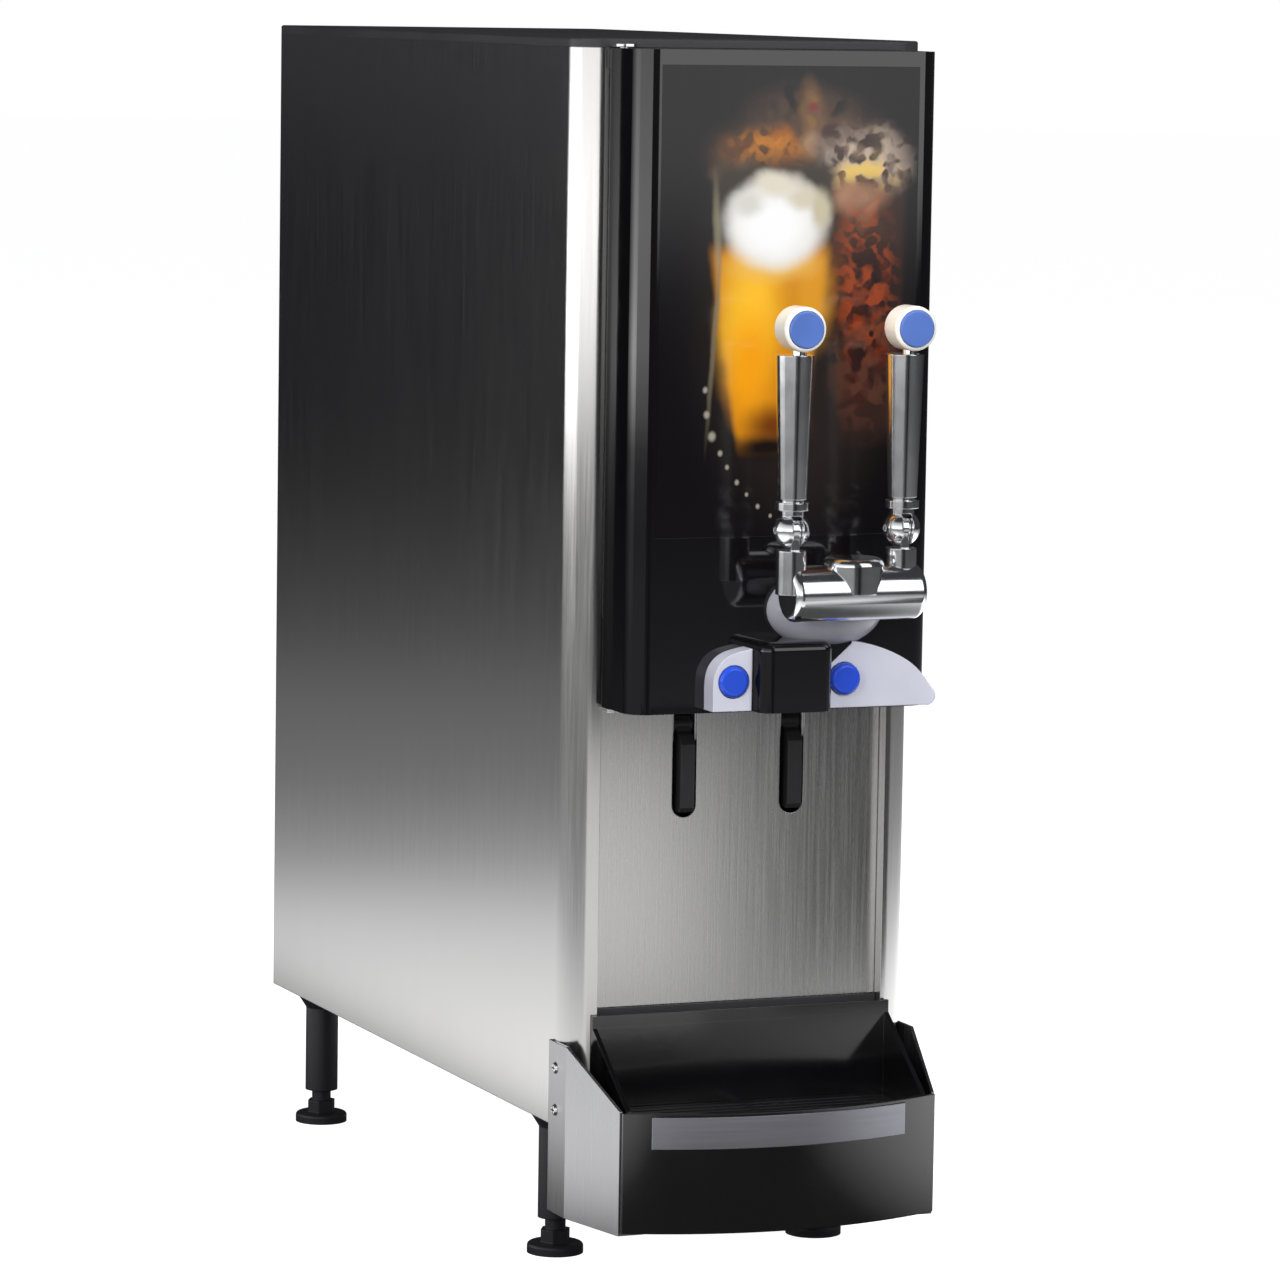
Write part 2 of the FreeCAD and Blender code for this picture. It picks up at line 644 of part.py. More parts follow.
def condenser():
    """Finned coil that gives up the heat behind the rear slots."""
    y0, y1 = back - 60.0, back - 24.0
    ends = [box(x - 1, x + 1, y0, y1, 116, 322) for x in (-88, 88)]
    fins = [box(-80 + 16 * k - 0.8, -80 + 16 * k + 0.8, y0 + 1, y1 - 1, 118, 320) for k in range(11)]
    pipes = [rod_x(-92, 92, y, z, 4.5) for y in (back - 51, back - 33) for z in range(136, 316, 34)]
    feet = [box(x - 9, x + 9, y0, y1, leg_height + sheet, 117) for x in (-80, 80)]
    return ends[0].fuse(ends[1:] + fins + pipes + feet)


def fan_motor():
    """Motor on a three-arm bracket, with the shroud plate round the blades."""
    shroud = box(-88, 88, back - 79.0, back - 77.0, 124, 312).cut(
        rod_y(0, back - 90, back - 70, fan_axis_z, 74.0))
    motor = rod_y(0, back - 128.0, back - 88.0, fan_axis_z, 26.0)
    shaft = rod_y(0, back - 88.5, back - 66.0, fan_axis_z, 3.0)
    arms = []
    for angle in (90, 210, 330):
        arm = box(20, 84, back - 92, back - 88, fan_axis_z - 4, fan_axis_z + 4)
        post = box(78, 84, back - 88, back - 78.5, fan_axis_z - 4, fan_axis_z + 4)
        arms.append(turned(arm.fuse(post), vec(0, 0, fan_axis_z), Y_AXIS, angle))
    foot_plate = box(-60, 60, back - 79.0, back - 77.0, leg_height + sheet, 125)
    return shroud.fuse([motor, shaft, foot_plate] + arms).removeSplitter()


def fan_blade():
    """Four pitched blades on a hub."""
    hub = rod_y(0, back - 84.0, back - 68.0, fan_axis_z, 15.0)
    blades = []
    for k in range(4):
        blade = box(12, 68, -0.8, 0.8, -19, 19)
        blade = turned(blade, vec(0, 0, 0), X_AXIS, 28)
        blade.translate(vec(0, back - 75.0, fan_axis_z))
        blades.append(turned(blade, vec(0, 0, fan_axis_z), Y_AXIS, 90 * k))
    fan = hub.fuse(blades)
    return fan.cut(rod_y(0, back - 90, back - 60, fan_axis_z, 3.05)).removeSplitter()


def containers():
    """Two concentrate bottles with caps, side by side on the shelf."""
    made = []
    for x in (-44.0, 44.0):
        bottle = box(x - 39, x + 39, front + 50, front + 250, 517.2, 700)
        bottle = rounded(bottle, 12.0, lambda edge: runs_along(edge, Z_AXIS))
        bottle = rounded(bottle, 10.0, lambda edge: on_face(edge, "z", 700))
        cap = rod_z(x, front + 100, 700, 722, 17.0)
        made.append(bottle.fuse(rod_z(x, front + 100, 698, 702, 14.0)).fuse(cap).removeSplitter())
    return group(made)


def pump_heads():
    """Two roller pumps: a round housing in front of each motor."""
    made = []
    for x in (-43.0, 43.0):
        housing = rod_y(x, front + 26, front + 52, pump_z, 27.0)
        housing = housing.cut(rod_y(x, front + 25, front + 48, pump_z, 23.0))
        motor = rod_y(x, front + 52, front + 104, pump_z, 20.0)
        shaft = rod_y(x, front + 46, front + 53, pump_z, 3.0)
        cradle = box(x - 20, x + 20, front + 56, front + 100, compartment_bottom, pump_z)
        made.append(housing.fuse([motor, cradle, shaft]).removeSplitter())
    return group(made)


def pump_rotor(x):
    """Three rollers on a hub, turned by the pump motor."""
    hub = rod_y(x, front + 30, front + 46, pump_z, 9.0)
    rotor = hub
    for k in range(3):
        angle = math.radians(90 + 120 * k)
        roller_x = x + 14.0 * math.cos(angle)
        roller_z = pump_z + 14.0 * math.sin(angle)
        rotor = rotor.fuse(rod_y(roller_x, front + 30, front + 46, roller_z, 7.0))
    return rotor.removeSplitter()


def control_box():
    """Power supply and control board in a folded case."""
    case = box(-70, 70, front + 330, front + 440, 480, 640)
    case = rounded(case, 3.0, lambda edge: runs_along(edge, Z_AXIS))
    fins = [box(-60 + 12 * k - 1, -60 + 12 * k + 1, front + 440, front + 452, 500, 620) for k in range(11)]
    bracket = box(-100, 100, front + 328, front + 330.2, 470, 650)
    tie = box(-100, -60, front + 306.2, front + 328.2, 640, 650)
    return case.fuse(fins + [bracket, tie, mirrored(tie)]).removeSplitter()


def solenoid_valves():
    """Water valves, one for each flavour, on a shared plate."""
    made = [box(-60, 60, front + 140, front + 190, leg_height + sheet, leg_height + sheet + 3)]
    for x in (-30.0, 30.0):
        body = box(x - 14, x + 14, front + 150, front + 182, leg_height + sheet + 2, 130)
        coil = rod_z(x, front + 166, 130, 168, 15.0)
        made.append(body.fuse(coil))
    return made[0].fuse(made[1:]).removeSplitter()


def tubing():
    """Water line from the rear inlet to the valves, and a riser to each nozzle."""
    supply = tube([(60, back - 32, 380), (60, back - 110, 380), (100, back - 150, 380),
                   (100, front + 230, 330), (60, front + 190, 220), (60, front + 166, 150),
                   (45.5, front + 166, 150)], 3.5, 9.0)
    lines = [supply]
    for name, x in station_x.items():
        valve_x = -30.0 if name == "left" else 30.0
        lines.append(tube([(valve_x, front + 166, 168.2), (valve_x, front + 166, 260),
                           (valve_x, front + 120, 300), (x, front + 60, 300),
                           (x, front + 60, 402), (x, front + 10.0, 402)], 3.5, 9.0))
    return group(lines)


def cooling_coil():
    """Copper tube bent to and fro on the back wall of the compartment."""
    points = []
    for row in range(6):
        z = 560.0 + row * 36.0
        ends = (-72.0, 72.0) if row % 2 == 0 else (72.0, -72.0)
        points += [(ends[0], front + 282, z), (ends[1], front + 282, z)]
    return tube(points, 4.0, 10.0)


def water_inlet():
    """Flare fitting for the supply line."""
    hexagon = [vec(60 + 14 * math.cos(math.radians(60 * k)), back - 13.5,
                   380 + 14 * math.sin(math.radians(60 * k))) for k in range(6)]
    nut = prism(hexagon, vec(0, -7, 0))
    fitting = nut.fuse([rod_y(60, back - 32, back - 20, 380, 7.0), rod_y(60, back - 14, back - 1, 380, 8.0)])
    return fitting.cut(rod_y(60, back - 10, back, 380, 5.0)).removeSplitter()


def power_inlet():
    """Three-pin appliance inlet, and beside it the bezel of the mains rocker."""
    y0 = back - 13.0
    body = box(-83.8, -56.2, y0 - 22, y0 + 2.4, 370.2, 389.8)
    flange = box(-88, -52, y0 + 2.5, y0 + 5, 366, 394)
    inlet = body.fuse([flange, box(-83.8, -56.2, y0 + 2.3, y0 + 2.6, 370.2, 389.8)])
    inlet = inlet.cut(box(-81, -59, y0 - 12, y0 + 6, 373, 387))
    pins = [box(-70 + dx - 1, -70 + dx + 1, y0 - 13, y0 + 1, 380 + dz - 2, 380 + dz + 2)
            for dx, dz in ((-7, -1.5), (0, 1.5), (7, -1.5))]
    bezel = box(-36, -14, back - 10.5, back - 9.0, 366, 394)
    bezel = bezel.cut(box(-32.5, -17.5, back - 12, back - 8, 369.5, 390.5))
    return group([inlet.fuse(pins).removeSplitter(), bezel])


def rocker_switch():
    """Mains rocker, pivoted in the rear panel's cut-out."""
    y = back - 12.5
    outline = [(y - 3, 371.0), (y + 1.0, 371.0), (y + 1.4, 380.0), (y + 3.8, 389.0), (y - 3, 389.0)]
    rocker = prism([vec(-31.5, py, pz) for py, pz in outline], vec(13, 0, 0))
    return rocker.cut(rod_x(-32, -18, y - 1, 380.0, 1.05)).removeSplitter()


def screws():
    """Low pan heads that hold the cheeks and the rear panel."""
    wide, narrow, tall = 4.0, 2.8, 1.8
    heads = []
    for side in (-1, 1):
        for z in (112.0, 140.0):
            heads.append(Part.makeCone(wide, narrow, tall, vec(side * 125.0, front + 14, z),
                                       vec(side, 0, 0)))
    for x in (-114.0, 114.0):
        for z in (140.0, 340.0, 560.0, 780.0):
            heads.append(Part.makeCone(wide, narrow, tall, vec(x, back - 10.5, z), Y_AXIS))
    return group(heads)


os.makedirs("parts", exist_ok=True)

save("base_pan", base_pan())
save("side_panel_left", side_panel())
save("side_panel_right", mirrored(side_panel()))
save("top_panel", top_panel())
save("rear_panel", rear_panel())
save("front_frame", front_frame())
save("splash_panel", splash_panel())
save("lower_front_panel", lower_front_panel())
save("cold_liner", cold_liner())
save("hinge_brackets", hinge_brackets())
save("legs", legs())
for spot, (foot_x, foot_y) in foot_spots.items():
    save("foot_" + spot, foot(foot_x, foot_y))

save("door_shell", door_shell())
save("graphic_panel", graphic_panel())
save("light_board", light_board())
save("door_liner", door_liner())
save("door_gasket", door_gasket())
save("apron", apron())
save("nozzle_hood", nozzle_hood())
save("escutcheon", escutcheon())
save("button_switches", button_switches())
save("push_button_left", push_button(button_x["left"], 17.0))
save("push_button_right", push_button(button_x["right"], 20.0))
save("tap_body", tap_body())
save("handle_pins", handle_pins())
for side, handle_x in tap_x.items():
    save("tap_handle_" + side, tap_handle(handle_x))
    save("badge_cap_" + side, badge_cap(handle_x))
    save("badge_" + side, badge(handle_x))
save("lock_barrel", lock_barrel())

save("nozzles", nozzles())
save("lever_bracket", lever_bracket())
for side, lever_x in station_x.items():
    save("cup_lever_" + side, cup_lever(lever_x))
save("tray_cheek_left", tray_cheek())
save("tray_cheek_right", mirrored(tray_cheek()))
save("drip_tray", drip_tray())
save("cup_grille", cup_grille())
save("tray_label", tray_label())

save("compressor", compressor())
save("condenser", condenser())
save("fan_motor", fan_motor())
save("fan_blade", fan_blade())
save("containers", containers())
save("pump_heads", pump_heads())
save("pump_rotor_left", pump_rotor(-43.0))
save("pump_rotor_right", pump_rotor(43.0))
save("control_box", control_box())
save("solenoid_valves", solenoid_valves())
save("tubing", tubing())
save("cooling_coil", cooling_coil())
save("water_inlet", water_inlet())
save("power_inlet", power_inlet())
save("rocker_switch", rocker_switch())
save("screws", screws())
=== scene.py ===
import math

import bmesh
import bpy
from mathutils import Matrix, Vector


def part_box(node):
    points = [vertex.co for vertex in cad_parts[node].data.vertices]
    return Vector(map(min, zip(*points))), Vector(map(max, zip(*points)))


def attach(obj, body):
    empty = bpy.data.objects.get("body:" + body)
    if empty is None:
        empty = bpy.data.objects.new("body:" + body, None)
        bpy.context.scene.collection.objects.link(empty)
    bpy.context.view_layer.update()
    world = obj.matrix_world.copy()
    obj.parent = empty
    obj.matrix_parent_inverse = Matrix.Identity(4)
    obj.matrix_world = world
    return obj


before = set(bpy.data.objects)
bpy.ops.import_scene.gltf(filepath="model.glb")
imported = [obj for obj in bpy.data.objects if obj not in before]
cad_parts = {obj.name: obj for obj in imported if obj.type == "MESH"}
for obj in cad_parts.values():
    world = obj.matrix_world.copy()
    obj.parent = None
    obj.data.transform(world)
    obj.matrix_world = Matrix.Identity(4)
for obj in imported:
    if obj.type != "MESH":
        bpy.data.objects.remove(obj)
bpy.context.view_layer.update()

# ---- Studio: white sweep, soft lights and camera.
# The dispenser stands on a seamless white sweep. Large soft panels stand left, right and above it,
# and steel and chrome pick up a second floor that is bright near the legs and dark further off.
FRONT_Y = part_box("side_panel_left")[0].y
CAMERA_PLACE = (-1.5219, FRONT_Y - 3.4916, 0.8527)
CAMERA_LENS = 164.1
CAMERA_YAW = math.radians(22.5)
CAMERA_PITCH = math.radians(6.49)
CAMERA_ROLL = math.radians(0.893)
FLOOR_RADIUS = 30.0
FLOOR_GLOW = 0.97
FLOOR_STOPS = [(0.5, 1.0), (1.3, 0.66), (1.7, 0.31), (2.2, 0.165), (3.0, 0.13), (3.6, 0.066),
               (4.4, 0.040)]
FLOOR_FAR, FLOOR_FAR_COLOUR = 6.2, (0.009, 0.009, 0.0105)
FLOOR_BANDS = [(-0.37, 0.62), (-0.26, 0.03), (0.24, 0.03), (0.48, 0.6), (0.80, 1.0)]
FLOOR_STRENGTH = 2.1
ROOM_GREY = (0.04, 0.04, 0.045)
WALL_RADIUS = 2.6
WALL_HEIGHT = 2.4


def studio_camera():
    data = bpy.data.cameras.new("studio_camera")
    data.lens = CAMERA_LENS
    data.sensor_width = 36.0
    data.clip_end = 200.0
    camera = bpy.data.objects.new("studio_camera", data)
    forward = Vector((math.sin(CAMERA_YAW) * math.cos(CAMERA_PITCH),
                      math.cos(CAMERA_YAW) * math.cos(CAMERA_PITCH), -math.sin(CAMERA_PITCH)))
    right = Vector((math.cos(CAMERA_YAW), -math.sin(CAMERA_YAW), 0.0))
    up = right.cross(forward)
    rolled_right = right * math.cos(CAMERA_ROLL) + up * math.sin(CAMERA_ROLL)
    rolled_up = up * math.cos(CAMERA_ROLL) - right * math.sin(CAMERA_ROLL)
    turn = Matrix((rolled_right, rolled_up, -forward)).transposed().to_4x4()
    camera.matrix_world = Matrix.Translation(CAMERA_PLACE) @ turn
    bpy.context.scene.collection.objects.link(camera)
    bpy.context.scene.camera = camera


def plain_surface(name, colour, strength):
    """A stage surface that gives off an even light of its own."""
    surface = bpy.data.materials.new(name)
    surface.use_nodes = True
    shader = surface.node_tree.nodes["Principled BSDF"]
    shader.inputs["Base Color"].default_value = (*colour, 1)
    shader.inputs["Roughness"].default_value = 0.8
    shader.inputs["Emission Color"].default_value = (1, 1, 1, 1)
    shader.inputs["Emission Strength"].default_value = strength
    return surface


def stage_disc(name, height, surface):
    corners = 64
    turns = [2 * math.pi * k / corners for k in range(corners)]
    ring = [(FLOOR_RADIUS * math.cos(turn), FLOOR_RADIUS * math.sin(turn), height) for turn in turns]
    mesh = bpy.data.meshes.new(name)
    mesh.from_pydata(ring, [], [list(range(corners))])
    mesh.materials.append(surface)
    disc = bpy.data.objects.new(name, mesh)
    bpy.context.scene.collection.objects.link(disc)
    return disc


def soft_panel(name, place, aim, width, height, watts):
    data = bpy.data.lights.new(name, "AREA")
    data.shape = "RECTANGLE"
    data.size, data.size_y = width, height
    data.energy = watts
    light = bpy.data.objects.new(name, data)
    light.location = place
    light.rotation_mode = "QUATERNION"
    light.rotation_quaternion = (Vector(aim) - Vector(place)).to_track_quat("-Z", "Y")
    light.visible_camera = light.visible_glossy = False
    bpy.context.scene.collection.objects.link(light)


def reflection_card(name, rows, ramp):
    """A card that only reflections see; its light follows a ramp of (height in metres, level)."""
    surface = plain_surface(name, (0.0, 0.0, 0.0), 1.0)
    nodes, links = surface.node_tree.nodes, surface.node_tree.links
    place = nodes.new("ShaderNodeTexCoord")
    split = nodes.new("ShaderNodeSeparateXYZ")
    curve = nodes.new("ShaderNodeFloatCurve")
    links.new(place.outputs["Object"], split.inputs[0])
    scale = nodes.new("ShaderNodeMath")
    scale.operation = "MULTIPLY"
    reach = ramp[-1][0]
    peak = max(level for _, level in ramp)
    scale.inputs[1].default_value = 1.0 / reach
    links.new(split.outputs["Z"], scale.inputs[0])
    points = curve.mapping.curves[0].points
    points[0].location = (ramp[0][0] / reach, ramp[0][1] / peak)
    points[1].location = (1.0, ramp[-1][1] / peak)
    for position, level in ramp[1:-1]:
        points.new(position / reach, level / peak)
    for point in points:
        point.handle_type = "VECTOR"
    curve.mapping.update()
    links.new(scale.outputs[0], curve.inputs["Value"])
    lit = nodes.new("ShaderNodeMath")
    lit.operation = "MULTIPLY"
    lit.inputs[1].default_value = peak
    links.new(curve.outputs[0], lit.inputs[0])
    links.new(lit.outputs[0], nodes["Principled BSDF"].inputs["Emission Strength"])
    mesh = bpy.data.meshes.new(name)
    count = len(rows[0])
    faces = [(k, k + 1, count + k + 1, count + k) for k in range(count - 1)]
    mesh.from_pydata([point for row in rows for point in row], [], faces)
    mesh.materials.append(surface)
    card = bpy.data.objects.new(name, mesh)
    card.visible_camera = card.visible_diffuse = card.visible_shadow = False
    card.visible_transmission = False
    bpy.context.scene.collection.objects.link(card)


def curved_wall(first, last):
    """Two rows of points round the dispenser, from one bearing to another."""
    steps = 24
    middle_y = -0.2
    turns = [math.radians(first + (last - first) * k / steps) for k in range(steps + 1)]
    return [[(WALL_RADIUS * math.cos(t), middle_y + WALL_RADIUS * math.sin(t), z) for t in turns]
            for z in (0.0, WALL_HEIGHT)]


def upright_rows(left, right, y, low, high):
    """Two rows of points of a flat card that stands across the front."""
    return [[(left, y, z), (right, y, z)] for z in (low, high)]


def reflected_floor_surface():
    """Bright near the legs, dark far away: what the steel sees of a lit table in a dark room."""
    surface = bpy.data.materials.new("reflected_floor")
    surface.use_nodes = True
    nodes, links = surface.node_tree.nodes, surface.node_tree.links
    shader = nodes["Principled BSDF"]
    shader.inputs["Base Color"].default_value = (0, 0, 0, 1)
    shader.inputs["Roughness"].default_value = 1.0

    def stops(ramp, rows):
        first, last = ramp.color_ramp.elements
        for element, (position, colour) in ((first, rows[0]), (last, rows[-1])):
            element.position = position
            element.color = (*colour, 1)
        for position, colour in rows[1:-1]:
            ramp.color_ramp.elements.new(position).color = (*colour, 1)

    place = nodes.new("ShaderNodeTexCoord")
    length = nodes.new("ShaderNodeVectorMath")
    length.operation = "LENGTH"
    ramp = nodes.new("ShaderNodeValToRGB")
    reach = 10.0
    scale = nodes.new("ShaderNodeMath")
    scale.operation = "MULTIPLY"
    scale.inputs[1].default_value = 1.0 / reach
    rows = [(metres / reach, (level, level, min(1.0, level * 1.02))) for metres, level in FLOOR_STOPS]
    stops(ramp, [*rows, (FLOOR_FAR / reach, FLOOR_FAR_COLOUR)])
    links.new(place.outputs["Object"], length.inputs[0])
    links.new(length.outputs["Value"], scale.inputs[0])
    links.new(scale.outputs[0], ramp.inputs[0])
    links.new(ramp.outputs[0], shader.inputs["Emission Color"])
    split = nodes.new("ShaderNodeSeparateXYZ")
    across = nodes.new("ShaderNodeMapRange")
    across.inputs[1].default_value, across.inputs[2].default_value = -1.0, 1.0
    mask = nodes.new("ShaderNodeValToRGB")
    stops(mask, [((1 + x) / 2, (level, level, level)) for x, level in FLOOR_BANDS])
    strength = nodes.new("ShaderNodeMath")
    strength.operation = "MULTIPLY"
    strength.inputs[1].default_value = FLOOR_STRENGTH
    links.new(place.outputs["Object"], split.inputs[0])
    links.new(split.outputs["X"], across.inputs[0])
    links.new(across.outputs[0], mask.inputs[0])
    links.new(mask.outputs[0], strength.inputs[0])
    links.new(strength.outputs[0], shader.inputs["Emission Strength"])
    return surface


def studio_world():
    """White to the camera, a dim grey room to everything else."""
    world = bpy.data.worlds.new("studio_world")
    world.use_nodes = True
    nodes, links = world.node_tree.nodes, world.node_tree.links
    nodes.clear()
    out = nodes.new("ShaderNodeOutputWorld")
    mix = nodes.new("ShaderNodeMixShader")
    path = nodes.new("ShaderNodeLightPath")
    white = nodes.new("ShaderNodeBackground")
    room = nodes.new("ShaderNodeBackground")
    white.inputs["Color"].default_value = (1, 1, 1, 1)
    white.inputs["Strength"].default_value = 1.0
    room.inputs["Color"].default_value = (*ROOM_GREY, 1)
    room.inputs["Strength"].default_value = 1.0
    links.new(path.outputs["Is Camera Ray"], mix.inputs[0])
    links.new(room.outputs[0], mix.inputs[1])
    links.new(white.outputs[0], mix.inputs[2])
    links.new(mix.outputs[0], out.inputs["Surface"])
    bpy.context.scene.world = world


studio_camera()
studio_world()
bpy.context.scene.view_settings.view_transform = "Standard"
floor = stage_disc("floor", -0.0002, plain_surface("floor_white", (0.5, 0.5, 0.5), FLOOR_GLOW))
floor.visible_glossy = floor.visible_diffuse = False
mirror_floor = stage_disc("reflected_floor", -0.004, reflected_floor_surface())
mirror_floor.visible_camera = mirror_floor.visible_diffuse = mirror_floor.visible_shadow = False
soft_panel("left_panel", (-2.4, -1.5, 1.35), (0, -0.2, 0.5), 1.5, 1.7, 60)
soft_panel("right_panel", (2.2, -0.5, 1.0), (0, -0.2, 0.4), 0.9, 1.6, 30)
soft_panel("top_panel_light", (0.0, -0.8, 3.2), (0, 0, 0.3), 2.6, 2.0, 60)
soft_panel("front_fill", (-0.2, -3.0, 1.3), (0, -0.2, 0.4), 2.2, 1.6, 75)
reflection_card("left_wall_back", curved_wall(128, 186),
                [(0.0, 0.20), (0.15, 0.22), (0.19, 0.28), (0.27, 0.30), (0.35, 0.6), (0.45, 4.4),
                 (0.52, 3.2), (0.9, 1.0), (2.4, 0.2)])
reflection_card("left_wall_front", curved_wall(186, 252),
                [(0.0, 0.20), (0.19, 0.20), (0.27, 0.12), (0.35, 0.26), (0.44, 1.6), (0.60, 2.0),
                 (0.9, 1.0), (2.4, 0.2)])
reflection_card("splash_glow", upright_rows(-0.35, 0.17, -0.70, 0.07, 0.33),
                [(0.0, 0.95), (0.16, 0.95), (0.26, 0.78), (0.30, 0.45), (0.33, 0.0)])
reflection_card("splash_shade", upright_rows(0.24, 0.62, -0.72, 0.08, 0.31),
                [(0.0, 0.03), (0.10, 0.05), (0.31, 0.05)])
reflection_card("front_high", upright_rows(0.2, 1.4, -1.6, 0.58, 2.0),
                [(0.0, 0.0), (0.58, 0.0), (0.68, 1.7), (2.0, 1.7)])

# ---- Stainless sheets: two sides with rolled front corners, the splash sheet and the tray cheeks.
# Sheet steel about a millimetre thick, brushed upright. The sides fold round the front corners and
# hook on the pan; the splash sheet and the cheeks are held by screws.
STEEL = (0.62, 0.615, 0.605)


class Surface:
    """A principled material with its node tree at hand."""

    def __init__(self, name, colour, rough, metallic=0.0):
        self.material = bpy.data.materials.new(name)
        self.material.use_nodes = True
        self.nodes = self.material.node_tree.nodes
        self.links = self.material.node_tree.links
        self.shader = self.nodes["Principled BSDF"]
        self.shader.inputs["Base Color"].default_value = (*colour, 1)
        self.shader.inputs["Roughness"].default_value = rough
        self.shader.inputs["Metallic"].default_value = metallic
        self.colour, self.rough = colour, rough
        self.coords = self.nodes.new("ShaderNodeTexCoord").outputs["Object"]

    def noise(self, stretch, detail=3.0):
        """Cloudy pattern; stretch is its fineness along X, Y and Z."""
        mapping = self.nodes.new("ShaderNodeMapping")
        mapping.inputs["Scale"].default_value = stretch
        texture = self.nodes.new("ShaderNodeTexNoise")
        texture.inputs["Scale"].default_value = 1.0
        texture.inputs["Detail"].default_value = detail
        self.links.new(self.coords, mapping.inputs["Vector"])
        self.links.new(mapping.outputs[0], texture.inputs["Vector"])
        return texture.outputs["Fac"]

    def ranged(self, source, low, high, start=0.3, end=0.7):
        node = self.nodes.new("ShaderNodeMapRange")
        for place, value in enumerate((start, end, low, high), 1):
            node.inputs[place].default_value = value
        self.links.new(source, node.inputs[0])
        return node.outputs[0]

    def vary_roughness(self, source, spread):
        self.links.new(self.ranged(source, self.rough - spread, self.rough + spread),
                       self.shader.inputs["Roughness"])

    def vary_colour(self, source, darker, lighter):
        """The colour drifts between two strengths of itself."""
        ramp = self.nodes.new("ShaderNodeValToRGB")
        for element, position, level in zip(ramp.color_ramp.elements, (0.3, 0.7), (darker, lighter)):
            element.position = position
            element.color = (*(min(1.0, c * level) for c in self.colour), 1)
        self.links.new(source, ramp.inputs[0])
        self.links.new(ramp.outputs[0], self.shader.inputs["Base Color"])

    def relief(self, source, height, edge=0.0):
        """Fine relief, and softly rounded edges of that radius."""
        bump = self.nodes.new("ShaderNodeBump")
        bump.inputs["Distance"].default_value = height
        self.links.new(source, bump.inputs["Height"])
        if edge:
            bevel = self.nodes.new("ShaderNodeBevel")
            bevel.samples = 6
            bevel.inputs["Radius"].default_value = edge
            self.links.new(bevel.outputs[0], bump.inputs["Normal"])
        self.links.new(bump.outputs[0], self.shader.inputs["Normal"])


def dress(surface, *names):
    """Gives carried-over CAD nodes their finished material."""
    for name in names:
        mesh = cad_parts[name].data
        mesh.materials.clear()
        mesh.materials.append(surface.material)


def brushed_steel(name, colour, rough, stretch, streak=0.03):
    steel = Surface(name, colour, rough, 1.0)
    grain = steel.noise(stretch, 4.0)
    steel.vary_roughness(grain, 0.035)
    steel.vary_colour(grain, 1.0 - streak, 1.0 + streak)
    steel.relief(grain, 0.00002, 0.0007)
    return steel


dress(brushed_steel("stainless_side", STEEL, 0.17, (900, 900, 14)), "side_panel_left",
      "side_panel_right")
dress(brushed_steel("stainless_splash", STEEL, 0.26, (700, 700, 10), 0.07), "splash_panel")
# The cheeks take a darker copy of the stainless than the sides: painted shade.
dress(brushed_steel("stainless_cheek", (0.46, 0.46, 0.47), 0.30, (10, 800, 12)), "tray_cheek_left",
      "tray_cheek_right")

# ---- Black trim of the cabinet: top cap, front frame and the strip under the tray bay.
# Moulded and powder-coated parts with a fine grain. The cap drops over the sides, and the frame
# that the door closes on is pushed in behind the rolled corners.


def moulded(name, colour, rough, grain=600.0, height=0.00004, edge=0.0006, spread=0.06):
    plastic = Surface(name, colour, rough)
    fine = plastic.noise((grain, grain, grain), 2.0)
    cloud = plastic.noise((14, 14, 14), 3.0)
    plastic.vary_roughness(cloud, spread)
    plastic.vary_colour(cloud, 0.9, 1.1)
    plastic.relief(fine, height, edge)
    return plastic


dress(moulded("black_cap", (0.022, 0.022, 0.024), 0.42), "top_panel", "front_frame",
      "lower_front_panel")

# ---- Plain sheet at the back and below: rear panel with louvre hoods, pan, brackets and screws.
# Galvanised and spangled steel. The hoods are pressed out of the rear panel over its slots, and
# pan-head screws with a cross recess hold the panel and the cheeks.
REAR_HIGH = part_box("rear_panel")[1]
HOOD_OUT = 0.0052
HOOD_TALL = 0.0085
HOOD_HALF = 0.045
HOOD_ROWS = [(0.130, 13), (0.640, 8)]
HOOD_PITCH = 0.015
HOOD_DROP = 0.0025
HOOD_MIDDLES = (-0.050, 0.050)
HOOD_STEPS = 16
HOOD_ROLL = (0.0, 0.4, 0.8, 1.2, 1.5)
HOOD_SHEET = 0.0009
HOOD_LIP = 0.0006
HOOD_INSET = 0.0004
RECESS_LONG = 0.0024
RECESS_SLIM = 0.0005
RECESS_SUNK = 0.0004
RECESS_PROUD = 0.00002
CHEEK_HEAD_X = 0.1268
CHEEK_SCREW_BACK = 0.014
CHEEK_SCREW_HEIGHTS = (0.112, 0.140)
REAR_HEAD_OUT = 0.0018
REAR_SCREW_X = 0.114
REAR_SCREW_HEIGHTS = (0.140, 0.340, 0.560, 0.780)


def new_piece(name, mesh, surface, body):
    """An object for a finished mesh, riding on its body."""
    mesh.materials.append(surface.material)
    piece = bpy.data.objects.new(name, mesh)
    bpy.context.scene.collection.objects.link(piece)
    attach(piece, body)
    return piece


def mesh_from(name, build, smooth_angle=None):
    """Runs build on an empty bmesh and returns the mesh."""
    made = bmesh.new()
    build(made)
    bmesh.ops.recalc_face_normals(made, faces=made.faces)
    if smooth_angle is not None:
        for face in made.faces:
            face.smooth = True
        for edge in made.edges:
            edge.smooth = len(edge.link_faces) == 2 and edge.calc_face_angle() < smooth_angle
    mesh = bpy.data.meshes.new(name)
    made.to_mesh(mesh)
    made.free()
    return mesh


